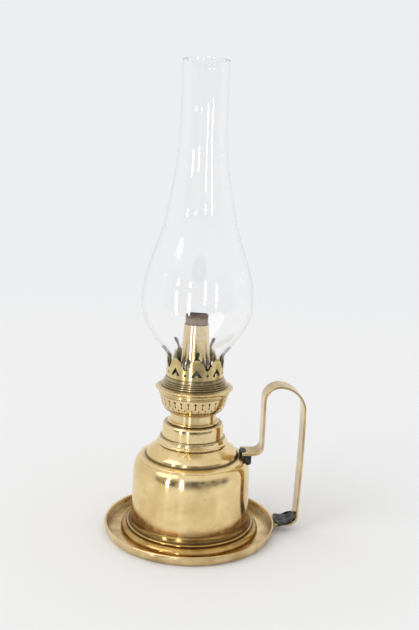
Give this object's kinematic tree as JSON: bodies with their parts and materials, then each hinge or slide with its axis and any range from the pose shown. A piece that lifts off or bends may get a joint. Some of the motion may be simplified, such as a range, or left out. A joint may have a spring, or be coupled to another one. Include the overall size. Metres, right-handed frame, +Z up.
{
  "type": "kerosene_hand_lamp",
  "caption": "Brass kerosene hand lamp with saucer foot, drum font, strap finger loop, pierced round-wick burner and clear bulged glass chimney",
  "frame": {"origin": "on the ground under the middle of the saucer", "axes": "+Z up along the lamp, +X to the handle's finger loop, +Y to the back where the wick knob is"},
  "size_m": [0.1444, 0.126, 0.335],
  "materials": {
    "aged_brass": "polished",
    "bright_brass": "polished",
    "grey_brass": "satin",
    "spring_bronze": "satin",
    "lead_solder": "matte",
    "cotton_wick": "matte",
    "clear_glass": "gloss"
  },
  "bodies": {
    "lamp_base": {"saucer_dish": "aged_brass", "saucer_rim": "bright_brass", "foot_moulding": "aged_brass", "font_floor": "aged_brass", "font_drum": "aged_brass", "font_cover": "aged_brass", "collar_base": "bright_brass", "collar": "aged_brass", "handle": "bright_brass", "handle_solder_top": "lead_solder", "handle_solder_foot": "lead_solder"},
    "burner": {"burner_base": "bright_brass", "burner_neck": "aged_brass", "air_basket": "bright_brass", "burner_band": "bright_brass", "gallery_ring": "grey_brass", "crown": "bright_brass", "spring_ring": "spring_bronze", "wick_tube": "aged_brass", "draught_tube": "aged_brass", "shaft_bracket": "aged_brass", "shaft_bushing": "aged_brass"},
    "winder": {"wick_shaft": "bright_brass", "feed_wheels": "aged_brass", "wick_knob": "bright_brass", "knob_rivet": "aged_brass"},
    "wick_roll": {"wick": "cotton_wick"},
    "chimney": {"glass_chimney": "clear_glass"}
  },
  "joints": [
    {"name": "burner_lift", "type": "slide", "parent": "lamp_base", "child": "burner", "axis": [0, 0, 1], "range_m": [0, 0.07]},
    {"name": "wick_knob_turn", "type": "hinge", "parent": "burner", "child": "winder", "pos_m": [0.0124, 0, 0.0981], "axis": [0, 1, 0], "range_deg": [-151, 60.5]},
    {"name": "wick_rise", "type": "slide", "parent": "burner", "child": "wick_roll", "axis": [0, 0, 1], "range_m": [-0.01, 0.004]},
    {"name": "chimney_lift", "type": "slide", "parent": "burner", "child": "chimney", "axis": [0, 0, 1], "range_m": [0, 0.06]}
  ],
  "couplings": [
    {"joint": "wick_knob_turn", "follows": "wick_rise", "rad_per_m": 263.16}
  ]
}
